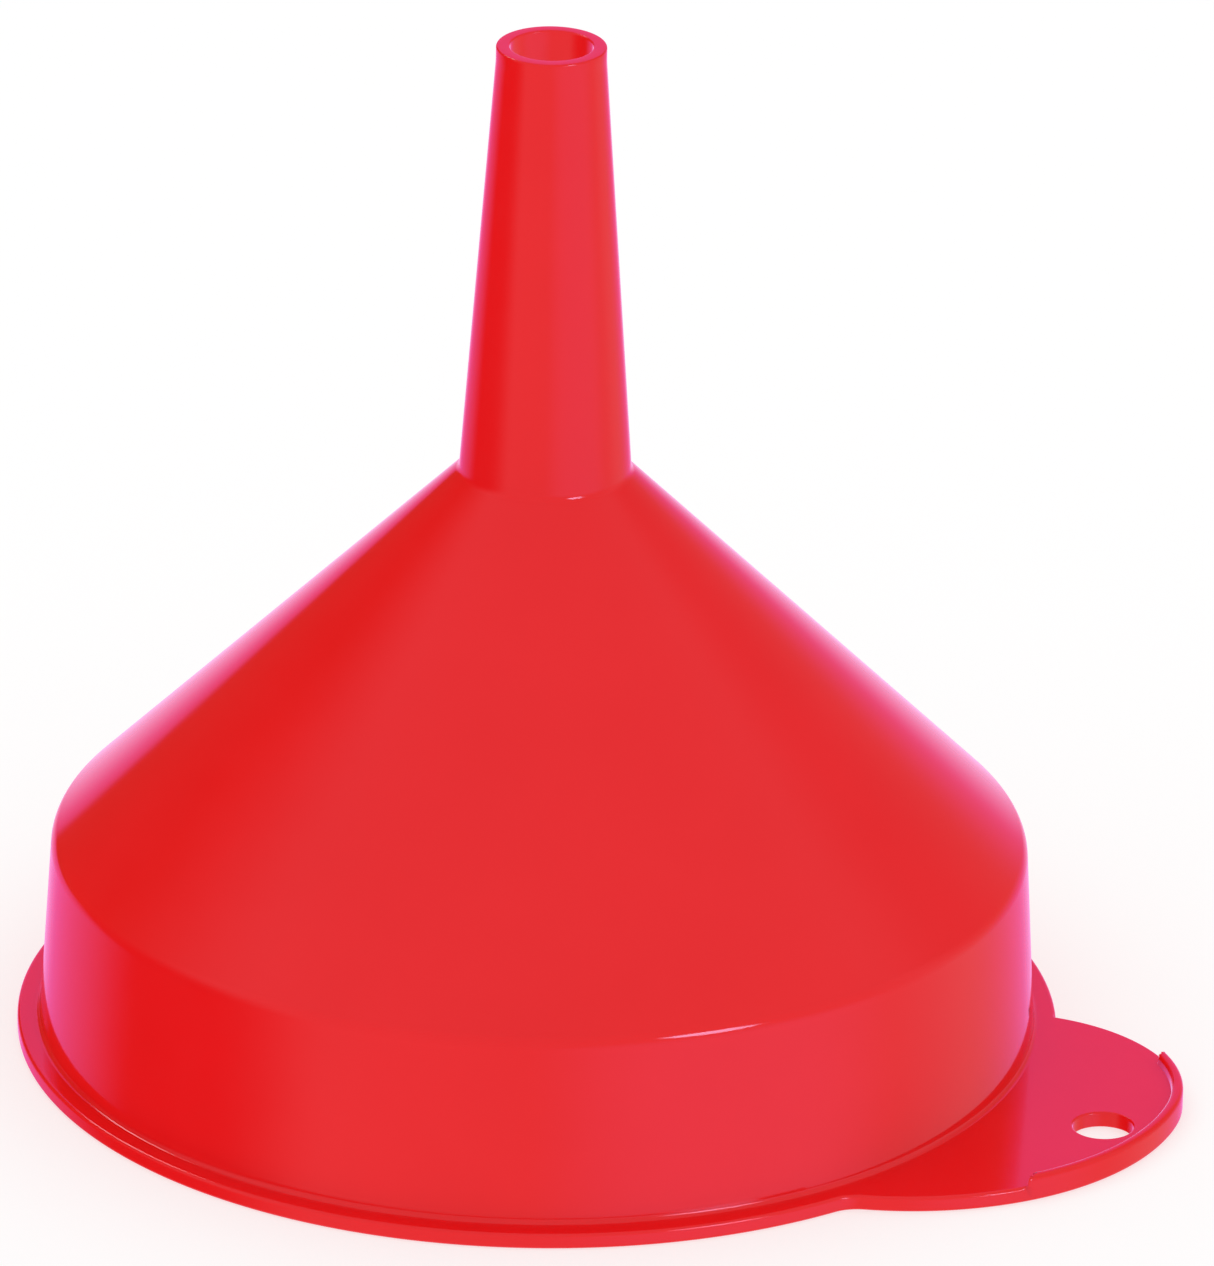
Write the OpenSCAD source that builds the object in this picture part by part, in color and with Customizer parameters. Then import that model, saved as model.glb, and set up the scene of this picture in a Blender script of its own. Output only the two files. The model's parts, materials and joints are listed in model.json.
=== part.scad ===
// Pouring funnel with a hang-up tab, standing on its mouth with the spout up.
// The real thing is one moulding of even wall. It is drawn here as its eight natural sections, each a
// closed solid that meets the next one face to face. Every joint between two round sections is a flat or
// conical cut across a straight stretch of the wall, so the outer and the inner surface run on unbroken.
// The origin is the centre of the mouth, in the plane that the rim stands on. +X points to the tab.

/* [Mouth and rim] */
// Inside diameter of the mouth, at the rim
mouth_d = 148.8; // [120:0.2:190]
// Width of the rim's flange, outside the wall
rim_w = 3.5; // [2:0.1:8]
// Thickness of the rim's flange
rim_t = 2.5; // [1.8:0.1:4]
// Rounding of the flange's outer edges
rim_edge_r = 0.6; // [0.2:0.1:0.8]
// Rounding in the corner between the flange and the wall
rim_fillet_r = 0.8; // [0.3:0.1:1.5]
// Height of the rim section above its flange
rim_stand = 1.6; // [1.6:0.1:4]

/* [Wall] */
// Thickness of the wall, from the rim to the spout's tip
wall_t = 2.1; // [1.2:0.1:2.6]
// Height of the side wall's top corner above the standing plane
wall_h = 31.5; // [15:0.5:60]
// Lean of the side wall, in degrees from upright
wall_draft = 3.4; // [0.5:0.1:8]
// Outer bend radius at the shoulder, between the side wall and the cone
shoulder_r = 3.1; // [2.8:0.1:8]
// Half angle of the cone, in degrees from the axis
cone_angle = 45.1; // [35:0.1:60]

/* [Spout] */
// Outside diameter of the spout, where it grows out of the cone
neck_d = 26.2; // [20:0.2:40]
// Outer bend radius in the corner between the cone and the spout
neck_r = 2; // [0.5:0.1:5]
// Outside diameter of the spout's tip
tip_d = 16.7; // [12:0.1:19]
// Length of the spout above the cone's top corner
spout_len = 68.3; // [40:0.1:120]
// Length of the straight, untapered end of the spout
tip_land = 2.4; // [1.5:0.1:10]
// Rounding of the tip's two edges
tip_edge_r = 0.3; // [0.1:0.1:0.5]

/* [Hang-up tab] */
// Reach of the tab beyond the rim
tab_reach = 23; // [20:0.5:30]
// Thickness of the tab's plate
tab_t = 2.5; // [1.5:0.1:4]
// Radius of the tab's nose
nose_r = 28; // [25:0.5:34]
// Sideways offset of the nose's centre from the line through the hole
nose_skew = 5.3; // [0:0.1:7]
// Radius of the tab's long flank, on the side away from the skew
flank_r = 44; // [38:0.5:48]
// Direction in which the flank runs into the nose, in degrees from +X
flank_turn = 7; // [0:1:20]
// Rounding in the corner where the long flank leaves the rim
root_fillet_r = 6; // [2:0.5:10]
// Diameter of the hang-up hole
hole_d = 9.2; // [5:0.1:12]
// Distance of the hole's centre beyond the rim
hole_out = 14.4; // [10:0.1:16]
// Width of the raised lip along the tab's edge
lip_w = 1.8; // [1:0.1:3]
// Height of the lip above the tab's plate
lip_h = 1.6; // [0.5:0.1:4]
// Distance beyond the rim at which the lip begins
lip_out = 13; // [8:0.5:18]
// Turn of the line on which the lip's two ends lie, in degrees from square
lip_turn = -1; // [-5:0.5:5]

/* [Hidden] */
$fn = 180;

RED = [0.90, 0.18, 0.20];

mouth_r = mouth_d / 2;
rim_r = mouth_r + wall_t + rim_w;
tip_r = tip_d / 2;
bore_r = tip_r - wall_t;

// All the outlines below are drawn in a plane through the axis: x is the distance from the axis, and y is
// the height. normal(a) is the outward normal of a wall that leans inwards by a degrees.
function normal(a) = [cos(a), sin(a)];

// The corner between two walls of those leans, shifted square to both of them by a distance d.
function shifted(corner, lean_a, lean_b, d) =
    corner + d * (normal(lean_a) + normal(lean_b)) / (1 + normal(lean_a) * normal(lean_b));

// The side wall's faces, at any height: the inner one starts at the mouth's edge on top of the flange.
function wall_in(z) = mouth_r - (z - rim_t) * tan(wall_draft);
function wall_out(z) = wall_in(z) + wall_t / cos(wall_draft);

// The outer corners of the profile, as they are before bending.
shoulder_corner = [wall_out(wall_h), wall_h];
neck_corner = [neck_d / 2, wall_h + (shoulder_corner.x - neck_d / 2) / tan(cone_angle)];
tip_z = neck_corner.y + spout_len;
land_corner = [tip_r, tip_z - tip_land];
spout_lean = atan((neck_corner.x - tip_r) / (land_corner.y - neck_corner.y));

// The bends. The shoulder bends round a centre inside the funnel, the neck round one outside it.
shoulder_mid = shifted(shoulder_corner, wall_draft, cone_angle, -shoulder_r);
neck_mid = shifted(neck_corner, cone_angle, spout_lean, neck_r);

// The rim section ends here, and the side wall begins.
stand_z = rim_t + rim_stand;

// The tab's outline: a nose disc, and a flank disc that touches it from outside.
nose_mid = [rim_r + tab_reach - nose_r, nose_skew];
flank_mid = nose_mid - (flank_r - nose_r) * normal(flank_turn);
hole_x = rim_r + hole_out;

// Where two circles about the points a and b cross, on the right-hand side of the way from a to b.
function crossing(a, r_a, b, r_b) =
    let (gap = norm(b - a))
    let (along = (gap * gap + r_a * r_a - r_b * r_b) / (2 * gap))
    let (aside = sqrt(r_a * r_a - along * along))
    let (way = (b - a) / gap)
    a + along * way + aside * [way.y, -way.x];

function direction(p) = atan2(p.y, p.x);

// The tab's root on the rim: the middle of the rounding on the flank's side, and the nose's sharp corner.
root_mid = crossing([0, 0], rim_r + root_fillet_r, flank_mid, flank_r + root_fillet_r);
nose_corner = crossing(nose_mid, nose_r, [0, 0], rim_r);

// Turns an outline about the funnel's axis.
module turned() {
    color(RED)
    rotate_extrude()
    children();
}

// A slice of a flat ring, between two directions.
module bend(mid, r_in, r_out, from, to) {
    far = 2 * r_out;
    translate(mid)
    intersection() {
        difference() {
            circle(r_out);
            circle(r_in);
        }
        polygon([[0, 0], far * normal(from), far * normal((from + to) / 2), far * normal(to)]);
    }
}

// The flange that the funnel stands on, with the first bit of the side wall.
module rim_outline() {
    fillet_mid = [
        wall_out(rim_t) + rim_fillet_r * (1 - sin(wall_draft)) / cos(wall_draft),
        rim_t + rim_fillet_r
    ];
    translate([mouth_r, 0])
    square([rim_r - rim_edge_r - mouth_r, rim_t]);
    translate([mouth_r, rim_edge_r])
    square([rim_r - mouth_r, rim_t - 2 * rim_edge_r]);
    for (z = [rim_edge_r, rim_t - rim_edge_r])
        translate([rim_r - rim_edge_r, z])
        circle(rim_edge_r);
    polygon([
        [wall_in(rim_t), rim_t],
        [wall_out(rim_t), rim_t],
        [wall_out(stand_z), stand_z],
        [wall_in(stand_z), stand_z]
    ]);
    difference() {
        polygon([
            [wall_out(rim_t), rim_t],
            [fillet_mid.x, rim_t],
            fillet_mid,
            fillet_mid - rim_fillet_r * normal(wall_draft)
        ]);
        translate(fillet_mid)
        circle(rim_fillet_r);
    }
}

// Along the tab's root the flange keeps its square edge, so that the tab's plate carries it on.
module rim() {
    turned()
    rim_outline();
    color(RED)
    rotate(direction(root_mid))
    rotate_extrude(angle = direction(nose_corner) - direction(root_mid))
    translate([rim_r - 2 * rim_edge_r, 0])
    square([2 * rim_edge_r, min(rim_t, tab_t)]);
}

module side_wall() {
    turned()
    polygon([
        [wall_in(stand_z), stand_z],
        [wall_out(stand_z), stand_z],
        shoulder_mid + shoulder_r * normal(wall_draft),
        shoulder_mid + (shoulder_r - wall_t) * normal(wall_draft)
    ]);
}

module shoulder() {
    turned()
    bend(shoulder_mid, shoulder_r - wall_t, shoulder_r, wall_draft, cone_angle);
}

module cone() {
    turned()
    polygon([
        shoulder_mid + (shoulder_r - wall_t) * normal(cone_angle),
        shoulder_mid + shoulder_r * normal(cone_angle),
        neck_mid - neck_r * normal(cone_angle),
        neck_mid - (neck_r + wall_t) * normal(cone_angle)
    ]);
}

module neck() {
    turned()
    bend(neck_mid, neck_r, neck_r + wall_t, 180 + spout_lean, 180 + cone_angle);
}

// The tapered pipe, with a straight end and two rounded edges.
module spout() {
    land_inside = shifted(land_corner, spout_lean, 0, -wall_t);
    turned() {
        polygon([
            neck_mid - (neck_r + wall_t) * normal(spout_lean),
            neck_mid - neck_r * normal(spout_lean),
            land_corner,
            [tip_r, tip_z - tip_edge_r],
            [bore_r, tip_z - tip_edge_r],
            land_inside
        ]);
        translate([bore_r + tip_edge_r, land_corner.y])
        square([wall_t - 2 * tip_edge_r, tip_land]);
        for (x = [bore_r + tip_edge_r, tip_r - tip_edge_r])
            translate([x, tip_z - tip_edge_r])
            circle(tip_edge_r);
    }
}

// The tab seen from above, drawn in from its edge by a distance.
module tab_outline(inset) {
    far = 2 * flank_r;
    translate(nose_mid)
    circle(nose_r - inset);
    intersection() {
        translate(flank_mid)
        circle(flank_r - inset);
        translate(flank_mid)
        rotate(flank_turn)
        translate([-far, -far])
        square([2 * far, far]);
    }
}

// The hollow corner where the long flank leaves the rim.
module root_fillet() {
    difference() {
        polygon([
            rim_r * root_mid / norm(root_mid),
            root_mid,
            flank_mid + flank_r * (root_mid - flank_mid) / norm(root_mid - flank_mid),
            crossing([0, 0], rim_r, flank_mid, flank_r)
        ]);
        translate(root_mid)
        circle(root_fillet_r);
    }
}

module hang_tab() {
    color(RED)
    difference() {
        linear_extrude(tab_t)
        difference() {
            union() {
                tab_outline(0);
                root_fillet();
            }
            circle(rim_r);
        }
        translate([hole_x, 0, -1])
        cylinder(d = hole_d, h = tab_t + 2);
    }
}

// The lip stands on the outer end of the tab's plate, on the spout's side.
module tab_lip() {
    color(RED)
    translate([0, 0, tab_t])
    linear_extrude(lip_h)
    difference() {
        tab_outline(0);
        tab_outline(lip_w);
        translate([rim_r + lip_out, 0])
        rotate(lip_turn)
        translate([-4 * flank_r, -2 * flank_r])
        square(4 * flank_r);
    }
}

rim();
side_wall();
shoulder();
cone();
neck();
spout();
hang_tab();
tab_lip();
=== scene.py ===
"""Pouring funnel of glossy red plastic, standing on its mouth with the spout up.

The wall is one moulding. Each of its natural sections is drawn as the maker draws it: the wall's section is
swept straight and round bends, and then turned about the funnel's axis. The tab and its lip are swept along
the tab's outline.
"""
import json
import math

import bmesh
import bpy
from mathutils import Matrix, Vector


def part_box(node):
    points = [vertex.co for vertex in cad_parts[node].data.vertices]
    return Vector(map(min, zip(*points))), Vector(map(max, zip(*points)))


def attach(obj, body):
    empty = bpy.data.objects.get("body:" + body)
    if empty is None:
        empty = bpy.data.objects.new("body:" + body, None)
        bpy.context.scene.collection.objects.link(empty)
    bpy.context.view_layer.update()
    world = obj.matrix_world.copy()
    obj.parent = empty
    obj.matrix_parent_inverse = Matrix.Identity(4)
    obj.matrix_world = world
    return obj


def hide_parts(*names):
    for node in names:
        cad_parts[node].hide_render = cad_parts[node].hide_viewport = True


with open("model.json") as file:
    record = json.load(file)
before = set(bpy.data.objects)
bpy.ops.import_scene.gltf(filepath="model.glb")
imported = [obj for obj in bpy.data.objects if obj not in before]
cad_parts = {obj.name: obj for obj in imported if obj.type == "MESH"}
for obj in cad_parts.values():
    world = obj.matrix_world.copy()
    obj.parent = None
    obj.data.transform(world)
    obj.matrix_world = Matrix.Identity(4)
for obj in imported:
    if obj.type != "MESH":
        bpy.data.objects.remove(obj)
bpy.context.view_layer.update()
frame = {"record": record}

MM = 0.001
# Points of the drawing that are nearer than this are one point. The first is for fine roundings, the second
# for sweeps that meet, and the third says that a point lies on a curve.
MERGE = 1e-7
NEAR = 1e-6
ON_LINE = 1e-5
# Surfaces that meet at a larger angle than this keep a crisp edge.
CRISP_ANGLE = math.radians(30)

# ---------------------------------------------------------------- sizes of the moulding, from the frame

record = frame["record"]


def mount(name):
    """One of the record's mounts."""
    return next(m for m in record["mounts"] if m["name"] == name)


def up_the_wall(lean):
    """The direction up a wall that leans inwards by some degrees, in the plane y = 0."""
    return Vector((-math.sin(math.radians(lean)), 0, math.cos(math.radians(lean))))


def out_of_wall(lean):
    """The outward normal of that wall."""
    return Vector((math.cos(math.radians(lean)), 0, math.sin(math.radians(lean))))


def high(part):
    """The upper corner of a CAD node's box."""
    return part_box(part)[1]


MOUTH_R = mount("mouth")["dims"]["r_mm"] * MM
RIM_T = mount("mouth")["dims"]["length_mm"] * MM
RIM_R = high("rim").x
TIP_R = mount("spout_tip")["dims"]["r_mm"] * MM
BORE_R = mount("spout_bore")["dims"]["r_mm"] * MM
WALL_T = TIP_R - BORE_R
STAND_Z = high("rim").z
TIP_Z = high("spout").z

# Leans of the walls from upright, in degrees, and the radii of the moulding.
DRAFT = 3.4
CONE_ANGLE = 45.1
SHOULDER_R = 3.1 * MM
NECK_R = 2.0 * MM
RIM_EDGE_R = 0.6 * MM
RIM_FILLET_R = 0.8 * MM
MOUTH_EDGE_R = 0.25 * MM
TIP_LAND = 2.4 * MM
TIP_EDGE_R = 0.3 * MM
TIP_BEND = 0.5 * MM

# The bends' centres, from the boxes of their nodes.
shoulder_mid = Vector((
    high("shoulder").x - SHOULDER_R * math.cos(math.radians(DRAFT)), 0,
    high("shoulder").z - SHOULDER_R * math.sin(math.radians(CONE_ANGLE))))
neck_x = high("neck").x + NECK_R * math.cos(math.radians(CONE_ANGLE))


def spout_lean_for(start):
    """The lean of a straight taper that leaves the neck's rounding and ends at the land's corner."""
    gap = Vector((TIP_R, 0, TIP_Z - TIP_LAND)) - start
    base = math.atan2(-gap.x, gap.z)
    return math.degrees(base - math.asin(NECK_R / gap.length))


# The neck's rounding touches the taper a little below its centre, so the lean is found in two steps.
neck_mid = Vector((neck_x, 0, high("neck").z))
SPOUT_LEAN = spout_lean_for(neck_mid)
neck_mid.z = high("neck").z + NECK_R * math.sin(math.radians(SPOUT_LEAN))
SPOUT_LEAN = spout_lean_for(neck_mid)

# Round sections are turned in even steps, and the tab's root takes a whole number of them.
TURN_STEPS = 256
STEP = 360 / TURN_STEPS
BEND_STEPS = 14
EDGE_STEPS = 6
FILLET_STEPS = 8
SMALL_EDGE_STEPS = 4
MOUTH_EDGE_STEPS = 3
LIP_END_STEPS = 5
HOLE_STEPS = 72
CONE_RINGS = 6
# The sections meet on the straight stretches of the wall, this far beyond a bend.
RUN_OUT = 0.3 * MM

# ---------------------------------------------------------------- the tab's outline

HOLE_MID = Vector((mount("hang_hole")["pos_m"][0], 0, 0))
HOLE_R = mount("hang_hole")["dims"]["r_mm"] * MM
TAB_T = high("hang_tab").z
LIP_TOP = high("tab_lip").z
LIP_END_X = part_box("tab_lip")[0].x
NOSE_R = 28 * MM
NOSE_SKEW = 5.3 * MM
FLANK_R = 44 * MM
FLANK_TURN = 7
ROOT_FILLET_R = 6 * MM
LIP_W = 1.8 * MM
LIP_TURN = -1
LIP_EDGE_R = 0.8 * MM
LIP_END_R = 0.6 * MM
# The lip is swept this many degrees too far at both ends, and is then cut off there.
LIP_SPARE = 6
TAB_EDGE_R = RIM_EDGE_R
HOLE_EDGE_R = 0.35 * MM
# The rim is cut back to this radius along the tab's root, so that the tab's edge carries the rim's edge on.
# The cut goes on for some degrees past the nose's corner.
ROOT_CUT_R = RIM_R - 1.2 * MM
ROOT_SPARE = 1.2


def flat(degrees):
    """A direction in the rim's plane."""
    return Vector((math.cos(math.radians(degrees)), math.sin(math.radians(degrees)), 0))


def heading(way):
    """The angle of a direction in the rim's plane, in degrees."""
    return math.degrees(math.atan2(way.y, way.x))


def crossing(a, r_a, b, r_b):
    """Where two circles cross, on the right-hand side of the way from a to b."""
    way = b - a
    gap = way.length
    along = (gap * gap + r_a * r_a - r_b * r_b) / (2 * gap)
    aside = math.sqrt(r_a * r_a - along * along)
    way = way / gap
    return a + along * way + aside * Vector((way.y, -way.x, 0))


CENTRE = Vector((0, 0, 0))
nose_mid = Vector((high("hang_tab").x - NOSE_R, NOSE_SKEW, 0))
flank_mid = nose_mid - (FLANK_R - NOSE_R) * flat(FLANK_TURN)
root_mid = crossing(CENTRE, RIM_R + ROOT_FILLET_R, flank_mid, FLANK_R + ROOT_FILLET_R)
nose_corner = crossing(nose_mid, NOSE_R, CENTRE, RIM_R)
ROOT_FROM = STEP * math.floor(heading(root_mid) / STEP)
ROOT_TO = STEP * math.ceil((heading(nose_corner) + ROOT_SPARE) / STEP)

# The lip's two ends lie on one straight line, a little off square. It begins at the tab's long flank.
lip_start = Vector((
    LIP_END_X, flank_mid.y - math.sqrt(FLANK_R ** 2 - (LIP_END_X - flank_mid.x) ** 2), 0))
lip_line = flat(90 + LIP_TURN)
past_the_line = flat(LIP_TURN)
to_nose = nose_mid - lip_start
abreast = to_nose.dot(lip_line)
lip_stop = lip_start + lip_line * (abreast + math.sqrt(
    NOSE_R ** 2 - (to_nose - abreast * lip_line).length_squared))


def beyond_lip_line(point):
    """How far a point lies beyond the line of the lip's ends, on the lip's side of it."""
    return (Vector((point.x, point.y, 0)) - lip_start).dot(past_the_line)


# ---------------------------------------------------------------- red plastic

# The two ends of the plastic's red, and of its roughness.
DEEP_RED = (0.865, 0.0078, 0.0090, 1)
LIGHT_RED = (0.885, 0.0092, 0.0110, 1)
POLISHED, WORN = 0.075, 0.11
# Fineness in waves per metre, and height in metres.
CLOUD_SCALE = 45
POLISH_SCALE = 160
WAVE_SCALE, WAVE_HEIGHT = 70, 0.00002
SKIN_SCALE, SKIN_HEIGHT = 1400, 0.000004
# The noise hardly ever leaves this range.
NOISE_LOW, NOISE_HIGH = 0.3, 0.7


def node(tree, kind, **settings):
    """Adds a node. A setting is a property of the node, or else the value of one of its sockets."""
    made = tree.nodes.new(kind)
    for name, value in settings.items():
        if hasattr(made, name):
            setattr(made, name, value)
        else:
            made.inputs[name.replace("_", " ")].default_value = value
    return made


def colour_sockets(sockets):
    """The colour ones among a node's sockets."""
    return [s for s in sockets if s.type == "RGBA"]


def make_red_plastic():
    """Glossy moulded plastic: an even red with faint clouds in it, a polish that varies a little, and the
    fine waviness of a moulded skin."""
    material = bpy.data.materials.new("red_plastic")
    material.use_nodes = True
    tree = material.node_tree
    tree.nodes.clear()
    link = tree.links.new
    place = node(tree, "ShaderNodeTexCoord").outputs["Object"]

    def noise(scale, detail, roughness=0.5):
        made = node(tree, "ShaderNodeTexNoise", Scale=scale, Detail=detail, Roughness=roughness)
        link(place, made.inputs["Vector"])
        return made.outputs["Fac"]

    def spread(value, low, high_end):
        made = node(tree, "ShaderNodeMapRange", From_Min=NOISE_LOW, From_Max=NOISE_HIGH,
                    To_Min=low, To_Max=high_end)
        link(value, made.inputs["Value"])
        return made.outputs["Result"]

    plastic = node(tree, "ShaderNodeBsdfPrincipled", IOR=1.5, Specular_IOR_Level=0.5)

    clouds = node(tree, "ShaderNodeMix", data_type="RGBA")
    link(spread(noise(CLOUD_SCALE, 3), 0, 1), clouds.inputs["Factor"])
    for socket, colour in zip(colour_sockets(clouds.inputs), (DEEP_RED, LIGHT_RED)):
        socket.default_value = colour
    link(colour_sockets(clouds.outputs)[0], plastic.inputs["Base Color"])

    link(spread(noise(POLISH_SCALE, 4, 0.6), POLISHED, WORN), plastic.inputs["Roughness"])

    waves = node(tree, "ShaderNodeBump", Strength=0.5, Distance=WAVE_HEIGHT)
    link(noise(WAVE_SCALE, 2), waves.inputs["Height"])
    skin = node(tree, "ShaderNodeBump", Strength=0.35, Distance=SKIN_HEIGHT)
    link(noise(SKIN_SCALE, 3), skin.inputs["Height"])
    link(waves.outputs["Normal"], skin.inputs["Normal"])
    link(skin.outputs["Normal"], plastic.inputs["Normal"])

    out = node(tree, "ShaderNodeOutputMaterial")
    link(plastic.outputs["BSDF"], out.inputs["Surface"])
    return material


# ---------------------------------------------------------------- drawing and turning

# The wall and the bore mirror the studio instead of these pieces, which keeps their red even.
UNMIRRORED = ("hang_tab", "tab_lip", "spout")
# Diffuse rays pass through these pieces, as if their plastic let light through, which shows inside the
# narrow bore.
LETS_LIGHT_IN = ("spout",)


def close_and_finish(name, bm, material, *nodes):
    """Merges the drawing's doubles, points its faces outwards and makes it one closed piece."""
    bmesh.ops.remove_doubles(bm, verts=bm.verts[:], dist=MERGE)
    bmesh.ops.recalc_face_normals(bm, faces=bm.faces[:])
    for face in bm.faces:
        face.smooth = True
    for edge in bm.edges:
        edge.smooth = edge.is_manifold and edge.calc_face_angle(0) < CRISP_ANGLE
    mesh = bpy.data.meshes.new(name)
    bm.to_mesh(mesh)
    bm.free()
    mesh.materials.append(material)
    piece = bpy.data.objects.new(name, mesh)
    bpy.context.scene.collection.objects.link(piece)
    even = piece.modifiers.new("even shading", "WEIGHTED_NORMAL")
    even.mode = "FACE_AREA"
    even.keep_sharp = True
    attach(piece, "root")
    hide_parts(*nodes)
    piece.visible_glossy = name not in UNMIRRORED
    piece.visible_diffuse = name not in LETS_LIGHT_IN
    return piece


def draw_face(bm, corners):
    """A flat face from a few corners, given as distance from the axis and height."""
    return bm.faces.new([bm.verts.new((r, 0, z)) for r, z in corners])


def round_corner(bm, corner, radius, steps=EDGE_STEPS):
    """Rounds the drawn corner nearest to a point. On a square corner the offset is the radius."""
    place = Vector((corner[0], 0, corner[1]))
    vert = min(bm.verts, key=lambda v: (v.co - place).length)
    bmesh.ops.bevel(bm, geom=[vert], offset=radius, offset_type="OFFSET", segments=steps,
                    profile=0.5, affect="VERTICES", material=-1)


def start_wall(bm, face_point, lean):
    """The line across the wall, from a point of its outer face square through to the inner face."""
    inner = face_point - WALL_T * out_of_wall(lean)
    return bm.edges.new((bm.verts.new(face_point), bm.verts.new(inner)))


def run_straight(bm, across, way):
    """Sweeps the line across the wall along a straight way."""
    made = bmesh.ops.extrude_edge_only(bm, edges=[across])["geom"]
    verts = [g for g in made if isinstance(g, bmesh.types.BMVert)]
    bmesh.ops.translate(bm, verts=verts, vec=way)
    return next(g for g in made if isinstance(g, bmesh.types.BMEdge))


def run_round(bm, across, mid, degrees, steps=BEND_STEPS):
    """Sweeps the line across the wall round a bend. Positive degrees lean it inwards."""
    made = bmesh.ops.spin(bm, geom=[across, *across.verts], cent=mid, axis=(0, -1, 0),
                          angle=math.radians(degrees), steps=steps, use_duplicate=False)
    return next(g for g in made["geom_last"] if isinstance(g, bmesh.types.BMEdge))


def drop_faces(bm):
    """Leaves just the drawing's lines."""
    bmesh.ops.delete(bm, geom=bm.faces[:], context="FACES_ONLY")


def outline_only(bm):
    """Leaves just the drawing's outer outline."""
    if len(bm.faces) > 1:
        bmesh.ops.dissolve_faces(bm, faces=bm.faces[:], use_verts=False)
    drop_faces(bm)


def turn_part_way(bm, start, stop):
    """Turns the drawing's lines round the funnel's axis, between two directions in degrees."""
    bmesh.ops.rotate(bm, verts=bm.verts[:], cent=CENTRE,
                     matrix=Matrix.Rotation(math.radians(start), 3, "Z"))
    bmesh.ops.spin(bm, geom=bm.verts[:] + bm.edges[:], cent=CENTRE, axis=(0, 0, 1),
                   angle=math.radians(stop - start), steps=round((stop - start) / STEP),
                   use_duplicate=False)


def join(part, whole):
    """Adds one drawing to another, and frees the first."""
    mesh = bpy.data.meshes.new("drawing")
    part.to_mesh(mesh)
    part.free()
    whole.from_mesh(mesh)
    bpy.data.meshes.remove(mesh)


def bevel_edges(bm, edges, radius, steps):
    bmesh.ops.bevel(bm, geom=edges, offset=radius, offset_type="OFFSET", segments=steps,
                    profile=0.5, affect="EDGES", material=-1, clamp_overlap=False)


def turn(bm):
    """Turns the outline once round the funnel's axis."""
    outline_only(bm)
    bmesh.ops.spin(bm, geom=bm.verts[:] + bm.edges[:], cent=CENTRE, axis=(0, 0, 1),
                   angle=2 * math.pi, steps=TURN_STEPS, use_merge=True, use_duplicate=False)


# ---------------------------------------------------------------- the round sections

def wall_in(z):
    return MOUTH_R - (z - RIM_T) * math.tan(math.radians(DRAFT))


def wall_out(z):
    return wall_in(z) + WALL_T / math.cos(math.radians(DRAFT))


def draw_rim_section(bm):
    """The rim's outline, as far out as the line where it's cut back for the tab's root."""
    draw_face(bm, [
        (MOUTH_R, 0), (ROOT_CUT_R, 0), (ROOT_CUT_R, RIM_T), (wall_out(RIM_T), RIM_T),
        (wall_out(STAND_Z), STAND_Z), (wall_in(STAND_Z), STAND_Z), (wall_in(RIM_T), RIM_T)])
    round_corner(bm, (MOUTH_R, 0), MOUTH_EDGE_R, MOUTH_EDGE_STEPS)
    round_corner(bm, (wall_out(RIM_T), RIM_T), RIM_FILLET_R, FILLET_STEPS)
    drop_faces(bm)


def erase_root_line(bm):
    """Takes the line out along which the rim is cut back."""
    bm.edges.remove(next(
        e for e in bm.edges if all(abs(v.co.x - ROOT_CUT_R) < MERGE for v in e.verts)))


def make_rim(material):
    """The flange. Its outer part, with the rounded edges, stops at both ends of the tab's root."""
    outer = bmesh.new()
    draw_face(outer, [(ROOT_CUT_R, 0), (RIM_R, 0), (RIM_R, RIM_T), (ROOT_CUT_R, RIM_T)])
    round_corner(outer, (RIM_R, 0), RIM_EDGE_R)
    round_corner(outer, (RIM_R, RIM_T), RIM_EDGE_R)
    drop_faces(outer)
    erase_root_line(outer)

    free = bmesh.new()
    draw_rim_section(free)
    erase_root_line(free)
    join(outer, free)
    bmesh.ops.remove_doubles(free, verts=free.verts[:], dist=MERGE)
    turn_part_way(free, ROOT_TO, ROOT_FROM + 360)

    bm = bmesh.new()
    draw_rim_section(bm)
    turn_part_way(bm, ROOT_FROM, ROOT_TO)
    join(free, bm)
    bmesh.ops.remove_doubles(bm, verts=bm.verts[:], dist=NEAR)
    bmesh.ops.holes_fill(bm, edges=[e for e in bm.edges if e.is_boundary], sides=0)
    return close_and_finish("rim", bm, material, "rim")


def make_side_wall(material):
    bm = bmesh.new()
    start = Vector((wall_out(STAND_Z), 0, STAND_Z))
    end = shoulder_mid + SHOULDER_R * out_of_wall(DRAFT) - RUN_OUT * up_the_wall(DRAFT)
    foot = bm.edges.new((bm.verts.new(start), bm.verts.new((wall_in(STAND_Z), 0, STAND_Z))))
    made = bmesh.ops.extrude_edge_only(bm, edges=[foot])["geom"]
    for vert in [g for g in made if isinstance(g, bmesh.types.BMVert)]:
        if (vert.co - start).length < MERGE:
            vert.co = end
        else:
            vert.co = end - WALL_T * out_of_wall(DRAFT)
    turn(bm)
    return close_and_finish("side_wall", bm, material, "side_wall")


def make_shoulder(material):
    bm = bmesh.new()
    across = start_wall(
        bm, shoulder_mid + SHOULDER_R * out_of_wall(DRAFT) - RUN_OUT * up_the_wall(DRAFT), DRAFT)
    across = run_straight(bm, across, RUN_OUT * up_the_wall(DRAFT))
    across = run_round(bm, across, shoulder_mid, CONE_ANGLE - DRAFT)
    run_straight(bm, across, RUN_OUT * up_the_wall(CONE_ANGLE))
    turn(bm)
    return close_and_finish("shoulder", bm, material, "shoulder")


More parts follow.
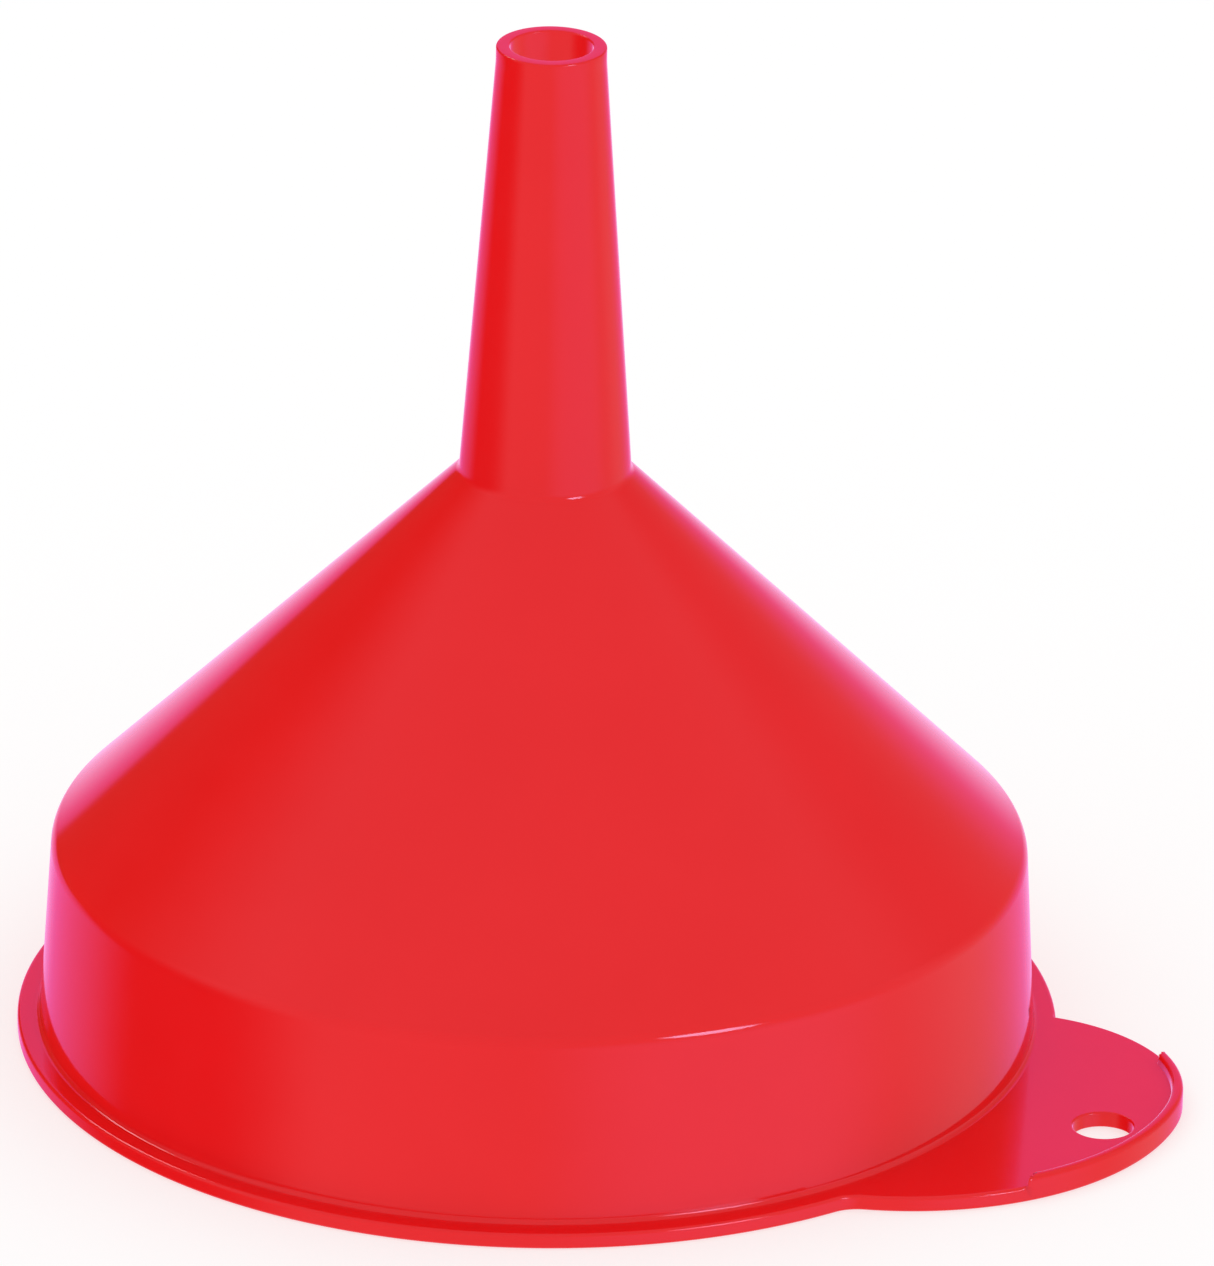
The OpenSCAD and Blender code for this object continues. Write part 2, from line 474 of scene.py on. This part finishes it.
def make_cone(material):
    bm = bmesh.new()
    up = up_the_wall(CONE_ANGLE)
    start = shoulder_mid + SHOULDER_R * out_of_wall(CONE_ANGLE) + RUN_OUT * up
    end = neck_mid - NECK_R * out_of_wall(CONE_ANGLE) - RUN_OUT * up
    across = start_wall(bm, start, CONE_ANGLE)
    for _ in range(CONE_RINGS):
        across = run_straight(bm, across, (end - start) / CONE_RINGS)
    turn(bm)
    return close_and_finish("cone", bm, material, "cone")


def make_neck(material):
    bm = bmesh.new()
    up = up_the_wall(CONE_ANGLE)
    across = start_wall(bm, neck_mid - NECK_R * out_of_wall(CONE_ANGLE) - RUN_OUT * up, CONE_ANGLE)
    across = run_straight(bm, across, RUN_OUT * up)
    across = run_round(bm, across, neck_mid, SPOUT_LEAN - CONE_ANGLE)
    run_straight(bm, across, RUN_OUT * up_the_wall(SPOUT_LEAN))
    turn(bm)
    return close_and_finish("neck", bm, material, "neck")


def make_spout(material):
    bm = bmesh.new()
    start = neck_mid - NECK_R * out_of_wall(SPOUT_LEAN) + RUN_OUT * up_the_wall(SPOUT_LEAN)
    start_in = start - WALL_T * out_of_wall(SPOUT_LEAN)
    land = TIP_Z - TIP_LAND
    land_in = land - WALL_T * math.tan(math.radians(SPOUT_LEAN / 2))
    draw_face(bm, [
        (start.x, start.z), (TIP_R, land), (TIP_R, TIP_Z), (BORE_R, TIP_Z), (BORE_R, land_in),
        (start_in.x, start_in.z)])
    round_corner(bm, (TIP_R, land), TIP_BEND, SMALL_EDGE_STEPS)
    round_corner(bm, (BORE_R, land_in), TIP_BEND, SMALL_EDGE_STEPS)
    round_corner(bm, (TIP_R, TIP_Z), TIP_EDGE_R)
    round_corner(bm, (BORE_R, TIP_Z), TIP_EDGE_R)
    turn(bm)
    return close_and_finish("spout", bm, material, "spout")


# ---------------------------------------------------------------- the tab and its lip

def sweep_point(bm, vert, mid, to, step=1.0):
    """Draws an arc from a point round a centre to another direction, the short way."""
    turn_by = (heading(to - mid) - heading(vert.co - mid) + 180) % 360 - 180
    steps = max(2, round(abs(turn_by) / step))
    made = bmesh.ops.spin(bm, geom=[vert], cent=mid, axis=(0, 0, 1),
                          angle=math.radians(turn_by), steps=steps, use_duplicate=False)
    return next(g for g in made["geom_last"] if isinstance(g, bmesh.types.BMVert))


def make_hang_tab(material):
    """The flat tab, with rounded edges that carry on the rim's, and the hang-up hole."""
    bm = bmesh.new()
    inner_start = bm.verts.new(ROOT_CUT_R * flat(ROOT_FROM))
    pen = bm.verts.new(RIM_R * flat(ROOT_FROM))
    bm.edges.new((inner_start, pen))
    flank_start = flank_mid + FLANK_R * (root_mid - flank_mid).normalized()
    nose_start = flank_mid + FLANK_R * flat(FLANK_TURN)
    pen = sweep_point(bm, pen, CENTRE, RIM_R * root_mid.normalized(), STEP)
    pen = sweep_point(bm, pen, root_mid, flank_start, 3)
    pen = sweep_point(bm, pen, flank_mid, lip_start)
    pen = sweep_point(bm, pen, flank_mid, nose_start)
    pen = sweep_point(bm, pen, nose_mid, lip_stop)
    pen = sweep_point(bm, pen, nose_mid, nose_corner)
    pen = sweep_point(bm, pen, CENTRE, RIM_R * flat(ROOT_TO), STEP)
    inner_end = bm.verts.new(ROOT_CUT_R * flat(ROOT_TO))
    bm.edges.new((pen, inner_end))
    sweep_point(bm, inner_end, CENTRE, inner_start.co, STEP)
    ring = bm.verts.new(HOLE_MID + Vector((HOLE_R, 0, 0)))
    bmesh.ops.spin(bm, geom=[ring], cent=HOLE_MID, axis=(0, 0, 1), angle=2 * math.pi,
                   steps=HOLE_STEPS, use_merge=True, use_duplicate=False)
    bmesh.ops.remove_doubles(bm, verts=bm.verts[:], dist=NEAR)
    bmesh.ops.triangle_fill(bm, use_beauty=True, use_dissolve=False, edges=bm.edges[:])
    inside = [e for e in bm.edges if len(e.link_faces) == 2]
    bmesh.ops.dissolve_limit(bm, angle_limit=0.001, verts=[], edges=inside)
    plate = bmesh.ops.extrude_face_region(bm, geom=bm.faces[:])["geom"]
    bmesh.ops.translate(bm, verts=[g for g in plate if isinstance(g, bmesh.types.BMVert)],
                        vec=(0, 0, TAB_T))
    bmesh.ops.recalc_face_normals(bm, faces=bm.faces[:])

    def flat_edges():
        return [e for e in bm.edges if e.is_manifold
                and abs(e.verts[0].co.z - e.verts[1].co.z) < MERGE
                and e.calc_face_angle(0) > 2 * CRISP_ANGLE]

    def at_the_hole(point):
        return (point.xy - HOLE_MID.xy).length < HOLE_R + HOLE_EDGE_R + ON_LINE

    def is_on_the_outline(edge):
        middle = (edge.verts[0].co + edge.verts[1].co) / 2
        under_the_lip = middle.z > TAB_T / 2 and beyond_lip_line(middle) > 0
        inside_the_rim = any(v.co.xy.length < ROOT_CUT_R + ON_LINE for v in edge.verts)
        return not (at_the_hole(middle) or under_the_lip or inside_the_rim)

    bevel_edges(bm, [e for e in flat_edges() if all(at_the_hole(v.co) for v in e.verts)],
                HOLE_EDGE_R, SMALL_EDGE_STEPS)
    bevel_edges(bm, [e for e in flat_edges() if is_on_the_outline(e)], TAB_EDGE_R, EDGE_STEPS)
    return close_and_finish("hang_tab", bm, material, "hang_tab")


def make_tab_lip(material):
    """The raised lip: its rounded section swept round the flank and the nose, cut off and rounded at both
    ends."""
    bm = bmesh.new()
    draw_face(bm, [(FLANK_R - LIP_W, TAB_T), (FLANK_R, TAB_T), (FLANK_R, LIP_TOP),
                   (FLANK_R - LIP_W, LIP_TOP)])
    round_corner(bm, (FLANK_R, LIP_TOP), LIP_EDGE_R)
    round_corner(bm, (FLANK_R - LIP_W, LIP_TOP), LIP_EDGE_R)
    drop_faces(bm)
    bmesh.ops.rotate(bm, verts=bm.verts[:], cent=CENTRE,
                     matrix=Matrix.Rotation(math.radians(FLANK_TURN), 3, "Z"))
    bmesh.ops.translate(bm, verts=bm.verts[:], vec=flank_mid)
    section = bm.verts[:] + bm.edges[:]
    copy = bmesh.ops.duplicate(bm, geom=section)["geom"]
    for geom, mid, to in ((section, flank_mid, lip_start), (copy, nose_mid, lip_stop)):
        swing = heading(to - mid) - FLANK_TURN
        swing += math.copysign(LIP_SPARE, swing)
        bmesh.ops.spin(bm, geom=geom, cent=mid, axis=(0, 0, 1), angle=math.radians(swing),
                       steps=round(abs(swing)), use_duplicate=False)
    bmesh.ops.remove_doubles(bm, verts=bm.verts[:], dist=MERGE)
    bmesh.ops.bisect_plane(bm, geom=bm.verts[:] + bm.edges[:] + bm.faces[:], dist=NEAR,
                           plane_co=lip_start, plane_no=past_the_line, clear_inner=True)
    bmesh.ops.holes_fill(bm, edges=[e for e in bm.edges if e.is_boundary], sides=0)
    bmesh.ops.recalc_face_normals(bm, faces=bm.faces[:])
    ends = [e for e in bm.edges
            if all(abs(beyond_lip_line(v.co)) < NEAR for v in e.verts)
            and any(v.co.z > TAB_T + NEAR for v in e.verts)]
    bevel_edges(bm, ends, LIP_END_R, LIP_END_STEPS)
    return close_and_finish("tab_lip", bm, material, "tab_lip")


# ---------------------------------------------------------------- studio

# The camera stands this way from its aim, in degrees and metres. The lens is long, so it stands well back.
VIEW_AZIMUTH = 24.045
VIEW_ELEVATION = 23.238
VIEW_DISTANCE = 2.132
VIEW_ROLL = 0.982
VIEW_AIM = Vector((9.545, 2.629, 66.40)) * MM
LENS = 398.35
SENSOR = 36
CLIP_NEAR, CLIP_FAR = 0.05, 20

FLOOR_R = 4
FLOOR_CORNERS = 96
FLOOR_PAINT = (0.5, 0.5, 0.5, 1)
WHITE = (1, 1, 1, 1)
# Strength of the even white light, and of the floor's own glow, which keeps the floor as white as paper.
STUDIO_LIGHT = 0.885
FLOOR_GLOW = 0.56

# What the gloss mirrors: an even tint, with soft areas over it, each over those before it. An area has an
# azimuth to the right of the camera and an elevation, in degrees, how much flatter than round it is, its
# full and its outer half width in degrees, and a colour. The last two are lamps.
ROOM_TINT = (0.85, 0.54, 0.62, 1)
SOFT_AREAS = [
    (145, 20, 1.0, 5, 50, (0.60, 0.25, 0.28)),
    (-145, 14, 1.0, 5, 66, (0.35, 0.06, 0.03)),
    (-95, -18, 1.0, 8, 48, (0.30, 0.01, 0.02)),
    (45, -18, 1.6, 5, 48, (0.95, 0.74, 1.15)),
    (-145, -18, 2.0, 5, 40, (0.60, 0.22, 0.62)),
    (180, -14, 3.0, 10, 66, (1.10, 0.25, 0.90)),
    (180, -12, 2.0, 5, 34, (1.15, 0.75, 1.20)),
    (180, 23, 1.0, 10, 40, (1.00, 0.28, 0.85)),
    (-140, 14, 1.0, 16, 20, (0.32, 0.07, 0.05)),
    (41, 20, 1.6, 9, 13, (6.0, 7.5, 12.0)),
    (-146, 46, 1.0, 6, 10, (4.0, 5.5, 6.0)),
]


def back_to_camera():
    """The direction from the aim to the camera."""
    a, e = math.radians(VIEW_AZIMUTH), math.radians(VIEW_ELEVATION)
    return Vector((math.sin(a) * math.cos(e), -math.cos(a) * math.cos(e), math.sin(e)))


def make_camera():
    back = back_to_camera()
    lens = bpy.data.cameras.new("camera")
    lens.lens = LENS
    lens.sensor_width = SENSOR
    lens.clip_start, lens.clip_end = CLIP_NEAR, CLIP_FAR
    camera = bpy.data.objects.new("camera", lens)
    turned = (-back).to_track_quat("-Z", "Y").to_matrix().to_4x4()
    roll = Matrix.Rotation(math.radians(VIEW_ROLL), 4, "Z")
    camera.matrix_world = Matrix.Translation(VIEW_AIM + VIEW_DISTANCE * back) @ turned @ roll
    bpy.context.scene.collection.objects.link(camera)
    bpy.context.scene.camera = camera


def make_floor():
    """A plain pale disc, which the gloss doesn't mirror."""
    bm = bmesh.new()
    bmesh.ops.create_circle(bm, cap_ends=True, segments=FLOOR_CORNERS, radius=FLOOR_R)
    mesh = bpy.data.meshes.new("floor")
    bm.to_mesh(mesh)
    bm.free()
    floor = bpy.data.objects.new("floor", mesh)
    bpy.context.scene.collection.objects.link(floor)
    material = bpy.data.materials.new("pale_floor")
    material.use_nodes = True
    paint = material.node_tree.nodes["Principled BSDF"]
    paint.inputs["Base Color"].default_value = FLOOR_PAINT
    paint.inputs["Roughness"].default_value = 1
    paint.inputs["Specular IOR Level"].default_value = 0
    paint.inputs["Emission Color"].default_value = WHITE
    paint.inputs["Emission Strength"].default_value = FLOOR_GLOW
    mesh.materials.append(material)
    floor.visible_glossy = False


def lay_area(tree, way, below, azimuth, elevation, squeeze, full_width, outer_width, tint):
    """Lays one soft area over the colours below it, and gives the colours with it."""
    link = tree.links.new
    a = math.radians(VIEW_AZIMUTH - 90 + azimuth)
    flat_way = (math.cos(a), math.sin(a), 0)
    height = math.sin(math.radians(elevation))

    def change(operation, value, by=None):
        made = node(tree, "ShaderNodeVectorMath", operation=operation)
        link(value, made.inputs[0])
        if by:
            made.inputs[1].default_value = by
        return made

    level = change("SUBTRACT", way, (0, 0, height)).outputs["Vector"]
    squeezed = change("MULTIPLY", level, (1, 1, squeeze)).outputs["Vector"]
    unit = change("NORMALIZE", squeezed).outputs["Vector"]
    nearness = change("DOT_PRODUCT", unit, flat_way).outputs["Value"]
    share = node(tree, "ShaderNodeMapRange", interpolation_type="SMOOTHSTEP",
                 From_Min=math.cos(math.radians(outer_width)),
                 From_Max=math.cos(math.radians(full_width)))
    link(nearness, share.inputs["Value"])
    mix = node(tree, "ShaderNodeMix", data_type="RGBA")
    link(share.outputs["Result"], mix.inputs["Factor"])
    under, over = colour_sockets(mix.inputs)
    if below is None:
        under.default_value = ROOM_TINT
    else:
        link(below, under)
    over.default_value = (*tint, 1)
    return colour_sockets(mix.outputs)[0]


def make_studio():
    """An even white room for the light, with softer and darker areas that only the gloss mirrors."""
    world = bpy.data.worlds.new("studio")
    world.use_nodes = True
    bpy.context.scene.world = world
    tree = world.node_tree
    tree.nodes.clear()
    link = tree.links.new
    way = node(tree, "ShaderNodeTexCoord").outputs["Generated"]
    mirrored = None
    for area in SOFT_AREAS:
        mirrored = lay_area(tree, way, mirrored, *area)

    gloss = node(tree, "ShaderNodeBackground")
    link(mirrored, gloss.inputs["Color"])
    light = node(tree, "ShaderNodeBackground", Color=WHITE, Strength=STUDIO_LIGHT)
    backdrop = node(tree, "ShaderNodeBackground", Color=WHITE)
    ray = node(tree, "ShaderNodeLightPath")
    shown = light.outputs[0]
    for kind, seen in (("Is Glossy Ray", gloss), ("Is Camera Ray", backdrop)):
        choice = node(tree, "ShaderNodeMixShader")
        link(ray.outputs[kind], choice.inputs["Fac"])
        link(shown, choice.inputs[1])
        link(seen.outputs[0], choice.inputs[2])
        shown = choice.outputs[0]
    out = node(tree, "ShaderNodeOutputWorld")
    link(shown, out.inputs["Surface"])


def set_the_look():
    """Colours as they are, with no film curve."""
    view = bpy.context.scene.view_settings
    view.view_transform = "Standard"
    view.look = "None"
    view.exposure = 0
    view.gamma = 1


make_camera()
set_the_look()
make_studio()
make_floor()
red_plastic = make_red_plastic()
for make in (make_rim, make_side_wall, make_shoulder, make_cone, make_neck, make_spout,
             make_hang_tab, make_tab_lip):
    make(red_plastic)
